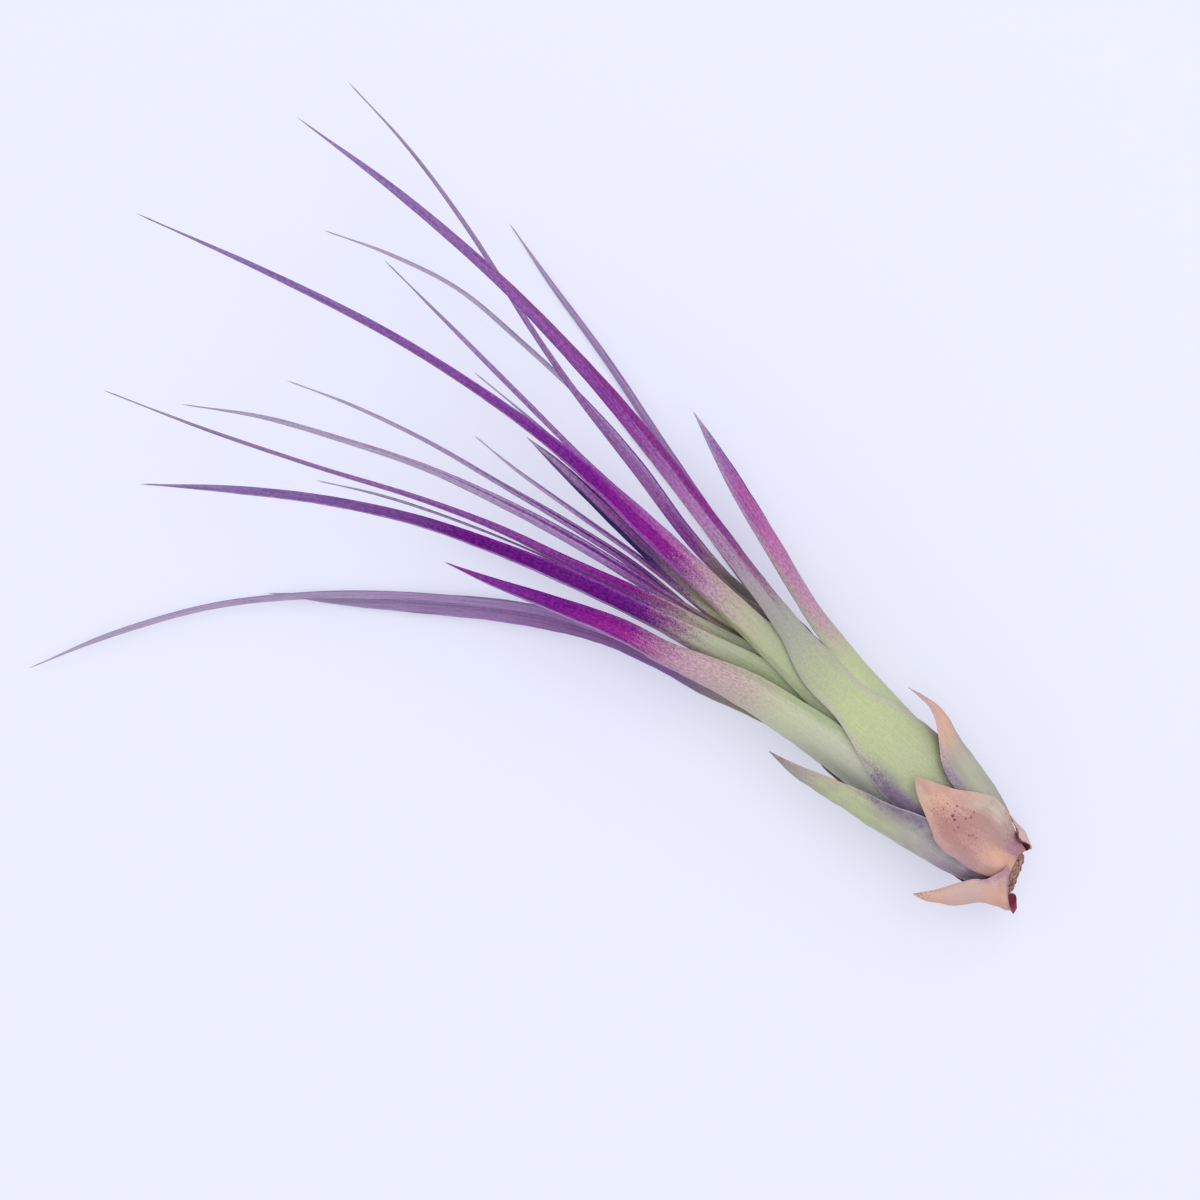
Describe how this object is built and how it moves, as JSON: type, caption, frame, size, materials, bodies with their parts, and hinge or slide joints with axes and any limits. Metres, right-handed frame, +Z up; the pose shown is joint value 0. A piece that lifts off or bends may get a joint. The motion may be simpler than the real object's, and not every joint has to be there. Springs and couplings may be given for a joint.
{
  "type": "air plant",
  "caption": "Tillandsia air plant lying on its side: short cut stem, dry scales at its foot and a one-sided fan of long tapering leaves, green to purple.",
  "frame": {"origin": "centre of the bounding box's base, on the surface that the plant lies on", "axes": "+X from the cut stem towards the leaf tips, +Z up, +Y towards the side that the long leaves fan to"},
  "size_m": [0.1657, 0.0985, 0.0394],
  "materials": {
    "stem": "dry fibrous stub with a brown cut end",
    "dry_scale": "papery dried scale, peach with mauve mottling",
    "green_scale": "scaly grey-green with a violet cast and a dry peach tip",
    "purple_leaf": "matt leaf, yellow-green sheath running to speckled purple",
    "magenta_leaf": "matt leaf, yellow-green sheath running to pink and magenta",
    "blue_leaf": "matt leaf, green running to dark blue-violet",
    "mauve_leaf": "matt scaly leaf, grey-green running to grey mauve",
    "grey_leaf": "hair-thin matt grey-green leaf"
  },
  "bodies": {
    "root": {"stem": "stem", "scale_lowest_left": "dry_scale", "scale_torn_right": "dry_scale", "scale_middle": "dry_scale", "scale_under_short": "dry_scale", "scale_right": "green_scale", "scale_left": "green_scale", "scale_under_long": "green_scale", "leaf_front": "purple_leaf", "leaf_centre": "purple_leaf", "leaf_wide_left": "purple_leaf", "leaf_long_slim": "purple_leaf", "leaf_slim_right": "purple_leaf", "leaf_edge_thin": "purple_leaf", "leaf_short_left": "magenta_leaf", "leaf_short_right": "magenta_leaf", "leaf_short_blue": "blue_leaf", "leaf_low_right": "mauve_leaf", "leaf_crossing": "mauve_leaf", "leaf_thin_centre": "mauve_leaf", "leaf_mauve_inner": "mauve_leaf", "leaf_mauve_outer": "mauve_leaf", "leaf_curved_left": "mauve_leaf", "leaf_low_left": "mauve_leaf", "leaf_under_right": "mauve_leaf", "leaf_under_middle": "mauve_leaf", "leaf_under_left": "mauve_leaf", "leaf_hair_centre": "grey_leaf", "leaf_hair_left": "grey_leaf"}
  },
  "joints": []
}
